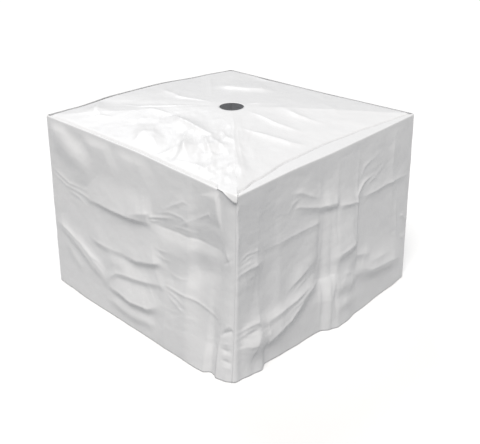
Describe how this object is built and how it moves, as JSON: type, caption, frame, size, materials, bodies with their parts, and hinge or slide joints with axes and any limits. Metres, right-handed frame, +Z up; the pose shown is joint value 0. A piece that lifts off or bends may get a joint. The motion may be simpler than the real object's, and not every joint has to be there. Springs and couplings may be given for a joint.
{
  "type": "tent ballast block cover",
  "caption": "Hollow slip-over cover for a square tent ballast block, in creased white coated cloth, with a round hole in its tented top.",
  "frame": {"origin": "middle of the block's top face, under the cover's top, level with its top edges", "axes": "+Z up; the walls face -X, -Y, +X and +Y"},
  "size_m": [1.0168, 1.0289, 0.6913],
  "materials": {
    "cloth": "white coated cloth with a soft sheen and storage creases"
  },
  "bodies": {
    "root": {"top_panel": "cloth", "wall_left": "cloth", "wall_front": "cloth", "wall_right": "cloth", "wall_back": "cloth"}
  },
  "joints": []
}
